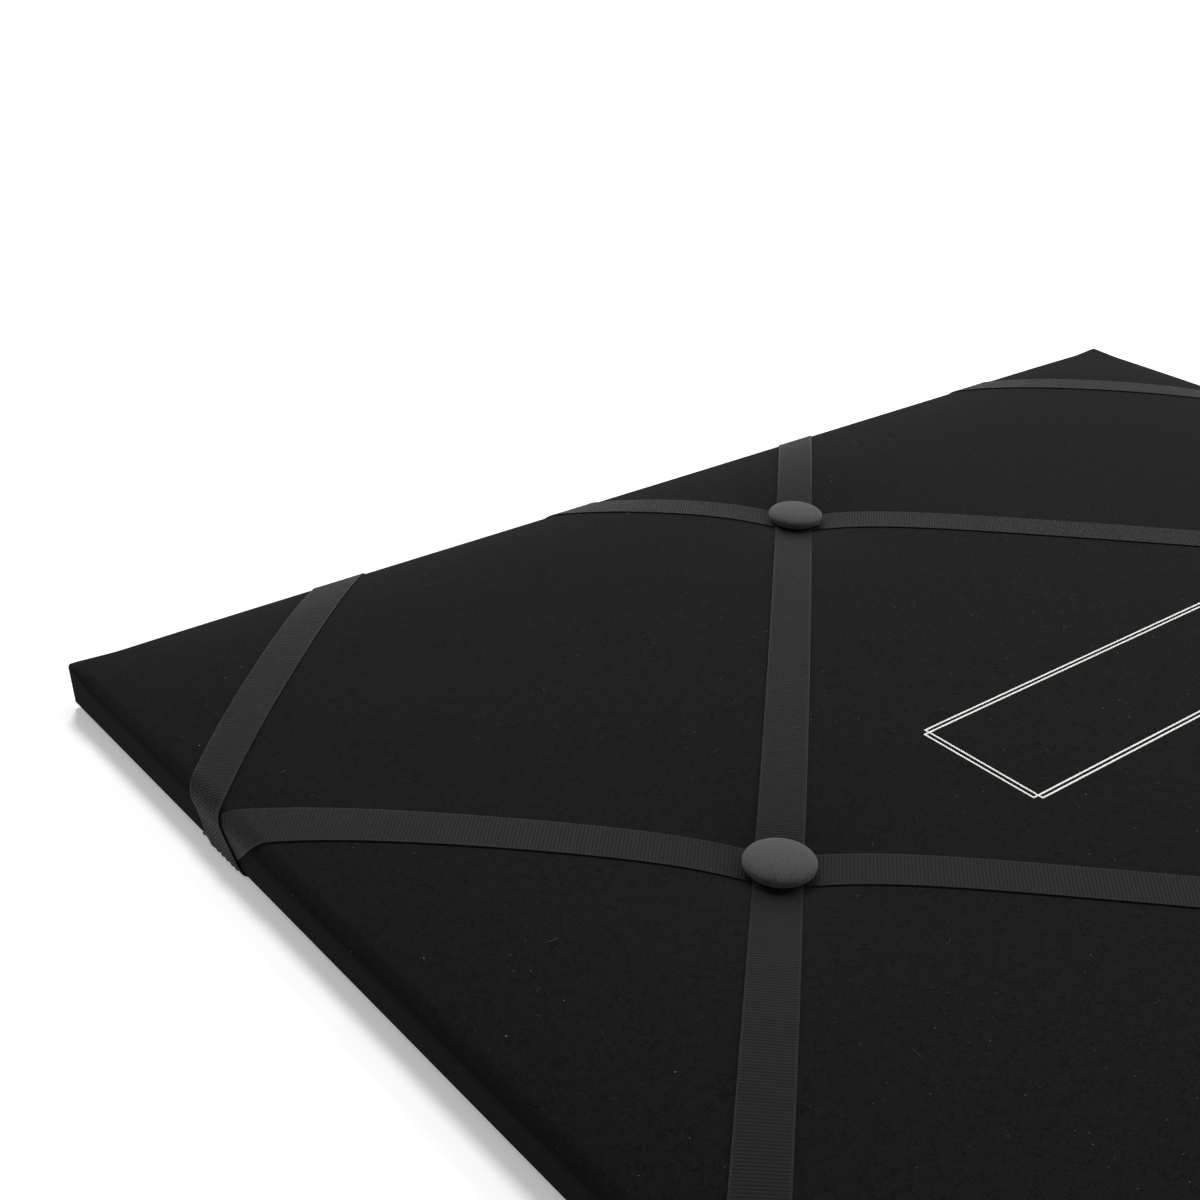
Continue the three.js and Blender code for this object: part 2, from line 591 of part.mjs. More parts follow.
// Ring hangers in the open back: strap, tubular rivet and the ring hanging down to the surface
function buildHangers() {
  const strapUnder = PANEL_BOTTOM - STRAP_THICKNESS;
  const flareBottom = PANEL_TOP - RIVET_FLARE_HEIGHT - RIVET_PLAY;
  const headBottom = strapUnder - RIVET_HEAD_HEIGHT;
  const rivet = [
    [0, headBottom],
    [RIVET_HEAD / 2 - RIVET_HEAD_HEIGHT / 2, headBottom],
    [RIVET_HEAD / 2, strapUnder - RIVET_HEAD_HEIGHT / 2],
    [RIVET_HEAD / 2, strapUnder],
    [RIVET_SHANK / 2, strapUnder],
    [RIVET_SHANK / 2, flareBottom],
    [RIVET_FLARE / 2, flareBottom],
    [RIVET_FLARE / 2, flareBottom + RIVET_FLARE_HEIGHT],
    [0, flareBottom + RIVET_FLARE_HEIGHT],
  ];
  const hangDown = Math.asin((HANGER_Z - RING_WIRE / 2 - RING_FLOOR_GAP) / RING_REACH);
  for (const { place, x } of HANGERS) {
    const strap = addPart(`hanger_strap_${place}`, hangerStrap(), 0xc2c4c6, 0.35, 1);
    strap.position.set(x, HANGER_Y, HANGER_Z);
    const ring = addPart(`hanger_ring_${place}`, hangerRing(), 0xc2c4c6, 0.3, 1);
    ring.position.set(x, HANGER_Y, HANGER_Z);
    ring.rotation.x = -hangDown;
    const pin = addPart(`hanger_rivet_${place}`, turned(rivet, ROUND_SIDES), 0xc2c4c6, 0.35, 1);
    pin.position.set(x, RIVET_Y, 0);
  }
}

buildFrame();
buildPanel();
buildPadding();
buildRibbons();
buildButtons();
buildHangers();

export default board;
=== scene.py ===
import json
import math
import random

import bpy
import numpy as np
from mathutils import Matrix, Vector


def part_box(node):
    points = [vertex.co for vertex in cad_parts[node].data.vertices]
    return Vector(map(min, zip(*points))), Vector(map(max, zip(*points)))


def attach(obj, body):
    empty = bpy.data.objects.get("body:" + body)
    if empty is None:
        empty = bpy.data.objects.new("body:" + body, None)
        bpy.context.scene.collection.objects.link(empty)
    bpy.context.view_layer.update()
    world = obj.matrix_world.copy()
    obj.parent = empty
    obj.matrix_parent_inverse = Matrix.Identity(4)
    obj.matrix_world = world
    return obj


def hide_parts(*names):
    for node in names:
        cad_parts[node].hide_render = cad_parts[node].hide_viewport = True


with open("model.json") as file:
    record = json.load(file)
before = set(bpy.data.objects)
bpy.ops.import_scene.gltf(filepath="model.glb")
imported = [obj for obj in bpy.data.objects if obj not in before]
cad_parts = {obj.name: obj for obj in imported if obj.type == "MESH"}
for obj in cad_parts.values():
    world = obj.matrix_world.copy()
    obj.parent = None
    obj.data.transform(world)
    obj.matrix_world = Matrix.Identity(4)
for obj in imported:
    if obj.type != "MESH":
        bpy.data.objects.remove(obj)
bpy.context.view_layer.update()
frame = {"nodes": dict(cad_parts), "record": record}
nodes = frame["nodes"]

MM = 0.001
ROOT_TWO = math.sqrt(2)
CORNERS = {
    "top_left": (-1, 1, True),
    "bottom_right": (1, -1, True),
    "top_right": (1, 1, False),
    "bottom_left": (-1, -1, False),
}
PLACES = ("top", "bottom", "left", "right")

# Sizes that the frame gives
HALF_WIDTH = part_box("cover_cloth")[1].x
HALF_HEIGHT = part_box("cover_cloth")[1].y
HEM_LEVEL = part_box("cover_cloth")[0].z
PANEL_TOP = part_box("face_panel")[1].z
BUTTON_BOXES = {place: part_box("button_cap_" + place) for place in PLACES}
BUTTON_CENTRES = {place: (low + high) / 2 for place, (low, high) in BUTTON_BOXES.items()}
BUTTON_RADIUS = (BUTTON_BOXES["top"][1].x - BUTTON_BOXES["top"][0].x) / 2

# Padded face and cloth
RIM_RISE = 2.7 * MM
RIM_LEVEL = PANEL_TOP + RIM_RISE
RIM_RADIUS = 3.2 * MM
CORNER_RADIUS = 1.0 * MM
CORNER_RUN = 16 * MM
HEM_RADIUS = 0.6 * MM
WALL_LEAN = 0.6 * MM
HEM_WIDTH = 18 * MM
CLOTH_THICKNESS = 0.5 * MM
CROWN = 5.75 * MM
CROWN_REACH = 18.3 * MM
TUFT_DEPTH = 3.65 * MM
TUFT_REACH = 14.5 * MM
TUFT_SEAT = BUTTON_RADIUS
RIM_STEPS = 8
CLOTH_CELL = 3 * MM
SLOPE_CELL = 2 * MM
PAD_INSET = 2 * MM
PAD_GAP = 0.3 * MM
PAD_CELL = 9 * MM

# Ribbons
RIBBON_WIDTH = 11 * MM
RIBBON_THICKNESS = 0.32 * MM
BUTTON_INSET = 51.6 * MM
# From the corner along both edges to the middle of the ribbon
RIBBON_CUTS = {"long": HALF_WIDTH + BUTTON_INSET, "short": 79.4 * MM}
RIBBON_LAY = 0.04 * MM
RIBBON_TAIL = 12 * MM
RIB_PITCH = 0.83 * MM
RIB_HEIGHT = 0.075 * MM
RIB_SECTION = (0.0, 0.85, 1.0, 0.85)
RIBBED_COLUMNS = (0.0, 0.3, 0.6)
SELVEDGE = 0.6 * MM
SELVEDGE_HEIGHT = 0.8 * RIB_HEIGHT
THREAD_PITCH = 0.24 * MM
THREAD_HEIGHT = 0.08 * MM
LIFT_RUN = 4 * MM

# How hand-laid ribbons stray from their 45 degree lines: a shift, a slant, and a bow at the ends
RIBBON_STRAY = {
    "top_left_long": (0.0, 0.0, -1.6 * MM),
    "top_left_short": (0.8 * MM, 0.037, 0.0),
    "bottom_left_long": (0.6 * MM, 0.0, 0.0),
}
NO_STRAY = (0.0, 0.0, 0.0)

# Covered buttons, drawn down until they press on the ribbons
BUTTON_PRESS = 0.03 * MM
BUTTON_EDGE = 1.75 * MM
BUTTON_DOME = 2.5 * MM
BUTTON_SIDES = 72
DOME_STEPS = 18
EDGE_STEPS = 8

# Printed foil lines: two frames that cross at the corners
FOIL_LINE = 0.53 * MM
FOIL_THICKNESS = 0.03 * MM
FOIL_FRAMES = ((65.7 * MM, 16.9 * MM), (64.1 * MM, 18.2 * MM))
FOIL_PLACE = (0.9 * MM, -1.1 * MM)
FOIL_STEPS = 40

# Lint on the face
FIBRE_COUNT = 110
FIBRE_RADIUS = 0.025 * MM
FIBRE_LENGTHS = (1.0 * MM, 3.6 * MM)
FIBRE_LIFT = 0.2 * MM
FIBRE_BEND = 3.0
FIBRE_STEPS = 10
FIBRE_SIDES = 5
FIBRE_SEED = 7

# Staples and folds of the hem
STAPLE_CROWN = 9.5 * MM
STAPLE_WIRE = 0.5 * MM
STAPLE_SIDES = 6
STAPLE_BEND = 0.5 * MM
STAPLE_BEND_STEPS = 4
STAPLE_LEG = 1.6 * MM
STAPLE_SPACING = 37 * MM
STAPLE_FIRST = 30 * MM
STAPLE_INSET = 11 * MM
STAPLE_STRAY = 4 * MM
STAPLE_TURN = 0.2
STAPLE_CLEAR = 14 * MM
STAPLE_SEED = 3
TAIL_STAPLE_SET = 5 * MM
FOLD_REACH = 26 * MM
FOLD_CORNER_SHARE = 0.4
FOLD_INSET = 1.5 * HEM_RADIUS
FOLD_THICKNESS = 0.9 * CLOTH_THICKNESS
FOLD_EASE = 1.5
FOLD_STEPS = 8

# Hanger rings
RING_WIRE = 2 * MM
RING_WIDTH = 20 * MM
RING_REACH = 12 * MM
RING_CORNER = 3 * MM
RING_STEPS = 8
RING_BOW_STEPS = 40
RING_SIDES = 16

# Carried-over pieces
SMOOTH_ANGLE = 50
WELD_REACH = 0.005 * MM
SOFT_ANGLE = 40
SOFT_SEGMENTS = 2
SOFT_EDGES = {"lath": 0.4 * MM, "hardboard": 0.2 * MM, "steel": 0.15 * MM}

# Camera and light
CAMERA_PLACE = (-0.3561, -0.2164, 0.2460)
CAMERA_TURN = (62.134, -1.348, -38.280)
CAMERA_LENS = 52.45
SENSOR = 36.0
CLIP_START = 0.01
AMBIENT = 0.32
FLOOR_BOUNCE = 0.25
BACKDROP_TOP = 18
BACKDROP_FADE = 50
HORIZON_BLUR = 0.02
FLOOR_COLOUR = 0.94
FLOOR_GLOW = 0.3
FLOOR_REACH = 1.3
# Name, place, width in metres and watts
LAMPS = (
    ("back softbox", (0.42, 1.38, 1.75), 0.5, 28),
    ("top softbox", (0.5, 0.0, 2.2), 0.8, 3),
    ("side softbox", (1.2, -0.35, 1.15), 0.8, 10),
)


# Node helpers
def add_node(tree, kind, inputs=None, **settings):
    """Adds a shader node; an input is a value, or a socket to link from."""
    node = tree.nodes.new("ShaderNode" + kind)
    for label, value in settings.items():
        setattr(node, label, value)
    for label, value in (inputs or {}).items():
        if isinstance(value, bpy.types.NodeSocket):
            tree.links.new(value, node.inputs[label])
        else:
            node.inputs[label].default_value = value
    return node


def math_node(tree, operation, first, second=0.0, clamp=False):
    node = add_node(tree, "Math", {0: first, 1: second}, operation=operation, use_clamp=clamp)
    return node.outputs[0]


def mapped(tree, value, low, high, to_low=0.0, to_high=1.0):
    """Value mapped smoothly from one range to another and held at its ends."""
    inputs = {"Value": value, "From Min": low, "From Max": high, "To Min": to_low, "To Max": to_high}
    return add_node(tree, "MapRange", inputs, interpolation_type="SMOOTHSTEP").outputs["Result"]


def mixed(tree, factor, first, second):
    """Colour between two colours, each a colour or a socket."""
    node = add_node(tree, "Mix", {"Factor": factor}, data_type="RGBA")
    for label, value in (("A", first), ("B", second)):
        socket = next(s for s in node.inputs if s.name == label and s.type == "RGBA")
        if isinstance(value, bpy.types.NodeSocket):
            tree.links.new(value, socket)
        else:
            socket.default_value = (*value, 1)
    return next(s for s in node.outputs if s.type == "RGBA")


def new_group(name, inputs, outputs):
    """Shader node group with named value inputs and outputs, and its two end nodes."""
    group = bpy.data.node_groups.new(name, "ShaderNodeTree")
    for label, value in inputs.items():
        socket = group.interface.new_socket(label, in_out="INPUT", socket_type="NodeSocketFloat")
        socket.default_value = value
    for label in outputs:
        group.interface.new_socket(label, in_out="OUTPUT", socket_type="NodeSocketFloat")
    return group, group.nodes.new("NodeGroupInput"), group.nodes.new("NodeGroupOutput")


def place_group(tree, group, **inputs):
    node = add_node(tree, "Group")
    node.node_tree = group
    for label, value in inputs.items():
        node.inputs[label.replace("_", " ")].default_value = value
    return node


def frame_place(tree):
    """Place in the frame, in metres."""
    return add_node(tree, "TexCoord").outputs["Object"]


def stretched(tree, scale):
    """Place in the frame, scaled along each axis."""
    return add_node(tree, "Mapping", {"Vector": frame_place(tree), "Scale": scale}).outputs[0]


def seen_directly(tree):
    """1 on rays by which the camera sees a surface, also in metal or through glass, and 0 on others."""
    rays = add_node(tree, "LightPath")
    seen = math_node(tree, "MAXIMUM", rays.outputs["Is Camera Ray"], rays.outputs["Is Glossy Ray"])
    return math_node(tree, "MAXIMUM", seen, rays.outputs["Is Transmission Ray"])


# Effects that several finishes share
def make_lint_group():
    """Small pale specks of lint, each with its own size and strength."""
    group, start, end = new_group("lint specks", {"Spacing": 5 * MM, "Size": 0.1, "Share": 0.5}, ["Specks"])
    scale = math_node(group, "DIVIDE", 1.0, start.outputs["Spacing"])
    cells = add_node(group, "TexVoronoi", {"Vector": frame_place(group), "Scale": scale})
    chance = add_node(group, "SeparateColor", {"Color": cells.outputs["Color"]})
    present = math_node(group, "LESS_THAN", chance.outputs["Red"], start.outputs["Share"])
    reach = math_node(group, "MULTIPLY", start.outputs["Size"], chance.outputs["Green"])
    near = math_node(group, "LESS_THAN", cells.outputs["Distance"], reach)
    strength = math_node(group, "POWER", chance.outputs["Blue"], 2.0)
    speck = math_node(group, "MULTIPLY", present, near)
    group.links.new(math_node(group, "MULTIPLY", speck, strength), end.inputs["Specks"])
    return group


def make_nap_group():
    """Fine felted fibres: a height, small tufts, and a slow mottle where the nap lies differently."""
    inputs = {"Fibre Scale": 2600.0, "Tuft Scale": 1500.0, "Mottle Scale": 90.0}
    group, start, end = new_group("felted nap", inputs, ["Height", "Tufts", "Mottle"])
    across = stretched(group, (1.0, 0.22, 1.0))
    along = stretched(group, (0.22, 1.0, 1.0))
    noise = {"Scale": start.outputs["Fibre Scale"], "Detail": 3.0, "Roughness": 0.65}
    first = add_node(group, "TexNoise", {**noise, "Vector": across})
    second = add_node(group, "TexNoise", {**noise, "Vector": along})
    height = math_node(group, "MAXIMUM", first.outputs["Fac"], second.outputs["Fac"])
    place = frame_place(group)
    mottle = {"Vector": place, "Scale": start.outputs["Mottle Scale"], "Detail": 4.0}
    slow = add_node(group, "TexNoise", mottle)
    tuft = {"Vector": place, "Scale": start.outputs["Tuft Scale"], "Detail": 3.0}
    clumps = add_node(group, "TexNoise", tuft)
    group.links.new(height, end.inputs["Height"])
    group.links.new(mapped(group, slow.outputs["Fac"], 0.3, 0.7), end.inputs["Mottle"])
    group.links.new(mapped(group, clumps.outputs["Fac"], 0.35, 0.65), end.inputs["Tufts"])
    return group


def make_weave_group():
    """Plain weave of fine threads, as a height."""
    group, start, end = new_group("fine weave", {"Thread": 0.28 * MM}, ["Height"])
    place = frame_place(group)
    axes = add_node(group, "SeparateXYZ", {"Vector": place})
    turn = math_node(group, "DIVIDE", 2 * math.pi, start.outputs["Thread"])
    waves = []
    for axis in ("X", "Y"):
        angle = math_node(group, "MULTIPLY", axes.outputs[axis], turn)
        waves.append(math_node(group, "SINE", angle))
    product = math_node(group, "MULTIPLY", *waves)
    loose = add_node(group, "TexNoise", {"Vector": place, "Scale": 1800.0, "Detail": 2.0})
    height = math_node(group, "ADD", product, loose.outputs["Fac"])
    group.links.new(height, end.inputs["Height"])
    return group


def make_scuff_group():
    """Worn patches and fine scratches, as two masks."""
    inputs = {"Patch Scale": 120.0, "Scratch Scale": 900.0}
    group, start, end = new_group("scuffs", inputs, ["Patches", "Scratches"])
    patch = {"Vector": frame_place(group), "Scale": start.outputs["Patch Scale"], "Detail": 5.0}
    patches = add_node(group, "TexNoise", patch)
    lines = stretched(group, (1.0, 0.08, 1.0))
    scratch = {"Vector": lines, "Scale": start.outputs["Scratch Scale"], "Detail": 2.0}
    scratches = add_node(group, "TexNoise", scratch)
    group.links.new(mapped(group, patches.outputs["Fac"], 0.35, 0.7), end.inputs["Patches"])
    group.links.new(mapped(group, scratches.outputs["Fac"], 0.55, 0.75), end.inputs["Scratches"])
    return group


LINT = make_lint_group()
NAP = make_nap_group()
WEAVE = make_weave_group()
SCUFFS = make_scuff_group()


# Finishes
def new_finish(name, **values):
    """Material with a Principled shader whose plain values are set on its own sockets."""
    material = bpy.data.materials.new(name)
    material.use_nodes = True
    shader = material.node_tree.nodes["Principled BSDF"]
    for label, value in values.items():
        shader.inputs[label.replace("_", " ")].default_value = value
    return material, material.node_tree, shader


def link(tree, socket, shader, label):
    tree.links.new(socket, shader.inputs[label])


def bump(tree, shader, height, distance, strength=1.0):
    inputs = {"Height": height, "Distance": distance, "Strength": strength}
    link(tree, add_node(tree, "Bump", inputs).outputs["Normal"], shader, "Normal")


def felted_cloth():
    material, tree, shader = new_finish(
        "felted cloth", Roughness=0.9, Specular_IOR_Level=0.02, Sheen_Weight=0.058, Sheen_Roughness=0.5
    )
    nap = place_group(tree, NAP, Mottle_Scale=430.0)
    lint = place_group(tree, LINT, Spacing=2.2 * MM, Size=0.09, Share=0.6)
    fluff = place_group(tree, LINT, Spacing=9 * MM, Size=0.03, Share=0.6)
    ground = mixed(tree, nap.outputs["Mottle"], (0.0033, 0.0033, 0.0034), (0.0073, 0.0073, 0.0074))
    tufted = mixed(tree, nap.outputs["Tufts"], ground, (0.0088, 0.0088, 0.0090))
    fibre = mapped(tree, nap.outputs["Height"], 0.55, 0.75)
    combed = mixed(tree, fibre, tufted, (0.0094, 0.0094, 0.0096))
    dusty = mixed(tree, lint.outputs["Specks"], combed, (0.19, 0.19, 0.19))
    link(tree, mixed(tree, fluff.outputs["Specks"], dusty, (0.34, 0.34, 0.33)), shader, "Base Color")
    bump(tree, shader, nap.outputs["Height"], 0.12 * MM, 0.6)
    return material


def grosgrain():
    """Ribbed ribbon whose fine threads run along it."""
    material, tree, shader = new_finish("grosgrain", Specular_IOR_Level=0.185)
    cut_place = add_node(tree, "UVMap", uv_map="cut cloth")
    across, ribs = add_node(tree, "SeparateXYZ", {"Vector": cut_place.outputs["UV"]}).outputs[:2]
    threads = math_node(tree, "SINE", math_node(tree, "MULTIPLY", across, 2 * math.pi / THREAD_PITCH))
    woven_edge = RIBBON_WIDTH / 2 - SELVEDGE
    edge = mapped(tree, math_node(tree, "ABSOLUTE", across), woven_edge, woven_edge + 0.2 * MM)
    groove = mapped(tree, math_node(tree, "PINGPONG", ribs, 0.5), 0.04, 0.2, 0.8, 0.0)
    groove = math_node(tree, "SUBTRACT", groove, edge, clamp=True)
    lint = place_group(tree, LINT, Spacing=7 * MM, Size=0.03, Share=0.25)
    nap = place_group(tree, NAP, Fibre_Scale=1500.0, Mottle_Scale=60.0)
    dyed = mixed(tree, nap.outputs["Mottle"], (0.0026, 0.0026, 0.0027), (0.0034, 0.0034, 0.0035))
    # Painted shade: the base colour goes nearly black in the grooves between the ribs, but not on the
    # selvedges.
    shade_in_grooves = mixed(tree, groove, dyed, (0.0005, 0.0005, 0.0005))
    edged = mixed(tree, edge, shade_in_grooves, (0.0042, 0.0042, 0.0043))
    link(tree, mixed(tree, lint.outputs["Specks"], edged, (0.12, 0.12, 0.12)), shader, "Base Color")
    silky = mapped(tree, nap.outputs["Height"], 0.3, 0.8, 0.4, 0.5)
    link(tree, math_node(tree, "ADD", silky, math_node(tree, "MULTIPLY", groove, 0.3)), shader, "Roughness")
    bump(tree, shader, threads, THREAD_HEIGHT)
    return material


def button_cloth():
    material, tree, shader = new_finish("button cloth", Specular_IOR_Level=0.3, Sheen_Weight=0.24)
    weave = place_group(tree, WEAVE, Thread=0.3 * MM)
    nap = place_group(tree, NAP, Fibre_Scale=2200.0, Tuft_Scale=2600.0, Mottle_Scale=300.0)
    grain = mapped(tree, nap.outputs["Tufts"], 0.0, 1.0, 0.0, 0.7)
    ground = mixed(tree, nap.outputs["Mottle"], (0.029, 0.029, 0.0295), (0.035, 0.035, 0.0355))
    link(tree, mixed(tree, grain, ground, (0.066, 0.066, 0.0665)), shader, "Base Color")
    link(tree, mapped(tree, nap.outputs["Height"], 0.3, 0.8, 0.7, 0.85), shader, "Roughness")
    relief = math_node(tree, "ADD", weave.outputs["Height"], nap.outputs["Tufts"])
    bump(tree, shader, relief, 0.05 * MM, 0.6)
    return material


def foil():
    material, tree, shader = new_finish("pale foil", Specular_IOR_Level=0.6)
    scuffs = place_group(tree, SCUFFS, Patch_Scale=700.0, Scratch_Scale=2500.0)
    colour = mixed(tree, scuffs.outputs["Patches"], (0.95, 0.93, 0.88), (0.89, 0.86, 0.8))
    link(tree, colour, shader, "Base Color")
    link(tree, mapped(tree, scuffs.outputs["Patches"], 0.0, 1.0, 0.3, 0.5), shader, "Roughness")
    return material


def foam():
    material, tree, shader = new_finish("open-cell foam", Roughness=1.0, Specular_IOR_Level=0.1)
    cells = add_node(tree, "TexVoronoi", {"Vector": frame_place(tree), "Scale": 1400.0})
    # Painted shade: the base colour is darker towards the middle of each cell, where the bump sinks into a
    # pore.
    colour = mixed(tree, cells.outputs["Distance"], (0.6, 0.55, 0.42), (0.82, 0.78, 0.66))
    link(tree, colour, shader, "Base Color")
    bump(tree, shader, cells.outputs["Distance"], 0.3 * MM)
    return material


def hardboard():
    """Hardboard seen from behind, with the mesh print of its pressing screen."""
    material, tree, shader = new_finish("hardboard", Roughness=0.85, Specular_IOR_Level=0.25)
    screen = place_group(tree, WEAVE, Thread=1.9 * MM)
    scuffs = place_group(tree, SCUFFS, Patch_Scale=45.0, Scratch_Scale=1600.0)
    ground = mixed(tree, scuffs.outputs["Patches"], (0.17, 0.088, 0.038), (0.235, 0.13, 0.06))
    flecked = mixed(tree, scuffs.outputs["Scratches"], ground, (0.34, 0.21, 0.11))
    link(tree, flecked, shader, "Base Color")
    bump(tree, shader, screen.outputs["Height"], 0.25 * MM, 0.7)
    return material


def lath(name, along):
    """Planed softwood whose grain runs along one axis."""
    material, tree, shader = new_finish(name, Roughness=0.72, Specular_IOR_Level=0.3)
    short, long = 1.0, 0.035
    scale = (long, short, short) if along == "X" else (short, long, short)
    grain = stretched(tree, scale)
    rings = add_node(tree, "TexNoise", {"Vector": grain, "Scale": 260.0, "Detail": 3.0, "Distortion": 0.4})
    pores = add_node(tree, "TexNoise", {"Vector": grain, "Scale": 1900.0, "Detail": 2.0})
    pale = mixed(tree, mapped(tree, rings.outputs["Fac"], 0.35, 0.65), (0.66, 0.46, 0.24), (0.49, 0.29, 0.12))
    colour = mixed(tree, mapped(tree, pores.outputs["Fac"], 0.56, 0.74), pale, (0.36, 0.2, 0.085))
    link(tree, colour, shader, "Base Color")
    bump(tree, shader, pores.outputs["Fac"], 0.12 * MM, 0.5)
    return material


def plated_steel():
    material, tree, shader = new_finish("plated steel", Metallic=1.0)
    scuffs = place_group(tree, SCUFFS, Patch_Scale=260.0, Scratch_Scale=1400.0)
    colour = mixed(tree, scuffs.outputs["Patches"], (0.62, 0.63, 0.65), (0.5, 0.51, 0.53))
    link(tree, colour, shader, "Base Color")
    link(tree, mapped(tree, scuffs.outputs["Scratches"], 0.0, 1.0, 0.28, 0.48), shader, "Roughness")
    return material


def lint_fibre():
    material, tree, shader = new_finish("lint fibre", Roughness=1.0, Specular_IOR_Level=0.2)
    nap = place_group(tree, NAP, Fibre_Scale=900.0, Mottle_Scale=160.0)
    pale = mixed(tree, nap.outputs["Mottle"], (0.04, 0.04, 0.04), (0.15, 0.15, 0.146))
    link(tree, pale, shader, "Base Color")
    return material


CLOTH = felted_cloth()
RIBBON = grosgrain()
BUTTON = button_cloth()
FOIL = foil()
FOAM = foam()
HARDBOARD = hardboard()
LATHS = {"X": lath("lath along X", "X"), "Y": lath("lath along Y", "Y")}
STEEL = plated_steel()
LINT_FIBRE = lint_fibre()


# Mesh helpers
def make_piece(name, points, faces, material, slot, body="board", flat=None):
    """Smooth mesh piece that rides on a body; flat gives each point's place across the cloth and its rib."""
    mesh = bpy.data.meshes.new(name)
    mesh.from_pydata([tuple(p) for p in points], [], [tuple(f) for f in faces])
    if flat is not None:
        layer = mesh.uv_layers.new(name="cut cloth")
        places = flat[[loop.vertex_index for loop in mesh.loops]]
        layer.data.foreach_set("uv", places.ravel())
    mesh.polygons.foreach_set("use_smooth", [True] * len(mesh.polygons))
    mesh.materials.append(material)
    piece = bpy.data.objects.new(name, mesh)
    bpy.context.scene.collection.objects.link(piece)
    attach(piece, body)
    return piece


def thicken(piece, thickness):
    """Gives a sheet its thickness, behind its shown face."""
    layer = piece.modifiers.new("thickness", "SOLIDIFY")
    layer.thickness = thickness
    layer.offset = -1


def grid_faces(rows, columns, closed_rows=False, closed_columns=False):
    faces = []
    for i in range(rows if closed_rows else rows - 1):
        for j in range(columns if closed_columns else columns - 1):
            near, far = i * columns, (i + 1) % rows * columns
            side = (j + 1) % columns
            faces.append((near + j, near + side, far + side, far + j))
    return faces


def spaced(first, last, step):
    count = max(1, round((last - first) / step))
    return [first + (last - first) * k / count for k in range(count + 1)]


# Padded face
def padding(x, y):
    """How far the stretched cloth stands above the rim, over places in the plan."""
    from_sides = np.maximum(0, HALF_WIDTH - np.abs(x))
    from_ends = np.maximum(0, HALF_HEIGHT - np.abs(y))
    rise = (1 - np.exp(-from_sides / CROWN_REACH)) * (1 - np.exp(-from_ends / CROWN_REACH))
    crown = np.full_like(x, CROWN)
    for centre in BUTTON_CENTRES.values():
        beyond = np.maximum(0, np.hypot(x - centre.x, y - centre.y) - TUFT_SEAT)
        crown -= TUFT_DEPTH * np.exp(-beyond / TUFT_REACH)
    return rise * crown


def eased(share):
    """Smooth step from 0 to 1."""
    share = np.clip(share, 0, 1)
    return share * share * (3 - 2 * share)


def rim_rounding(x, y):
    """Radius of the rim, which is soft along the edges and drawn tight at the corners."""
    from_corner = np.maximum(HALF_WIDTH - np.abs(x), HALF_HEIGHT - np.abs(y))
    return CORNER_RADIUS + (RIM_RADIUS - CORNER_RADIUS) * eased(from_corner / CORNER_RUN)


def rounded_box(points):
    """Points of a box's skin pulled in to round its rim, its upright edges and its hem."""
    level = points[:, 2]
    rim = rim_rounding(points[:, 0], points[:, 1])
    wall_low, wall_high = HEM_LEVEL + HEM_RADIUS, RIM_LEVEL - rim
    share = np.clip((level - wall_low) / (wall_high - wall_low), 0, 1)
    radius = HEM_RADIUS + (rim - HEM_RADIUS) * eased(share)
    inner = points.copy()
    inner[:, 0] = np.clip(points[:, 0], radius - HALF_WIDTH, HALF_WIDTH - radius)
    inner[:, 1] = np.clip(points[:, 1], radius - HALF_HEIGHT, HALF_HEIGHT - radius)
    inner[:, 2] = np.clip(level, wall_low, wall_high)
    away = points - inner
    rounded = inner + away * (radius / np.linalg.norm(away, axis=1))[:, None]
    lean = WALL_LEAN * (1 - share)
    rounded[:, 0] *= 1 - lean / HALF_WIDTH
    rounded[:, 1] *= 1 - lean / HALF_HEIGHT
    return rounded


def rounding_lines(radius):
    """Distances from a square edge of lines that end up evenly spaced once it is rounded."""
    angles = [math.pi / 4 * (1 - k / RIM_STEPS) for k in range(RIM_STEPS + 1)]
    return [radius * (1 - math.tan(angle)) for angle in angles]


def mesh_lines(half):
    """Mesh lines from edge to edge, close together round the rim."""
    slope = spaced(RIM_RADIUS, HEM_WIDTH, SLOPE_CELL)[1:]
    middle = spaced(HEM_WIDTH, half, CLOTH_CELL)[1:]
    inward = rounding_lines(RIM_RADIUS) + slope + middle
    return [d - half for d in inward] + [half - d for d in reversed(inward[:-1])]


def wall_lines():
    """Levels of the mesh lines on the sides, from the hem to the rim."""
    hem = [HEM_LEVEL + d for d in rounding_lines(HEM_RADIUS)]
    rim = [RIM_LEVEL - d for d in reversed(rounding_lines(RIM_RADIUS))]
    return hem + spaced(HEM_LEVEL + HEM_RADIUS, RIM_LEVEL - RIM_RADIUS, CLOTH_CELL)[1:-1] + rim


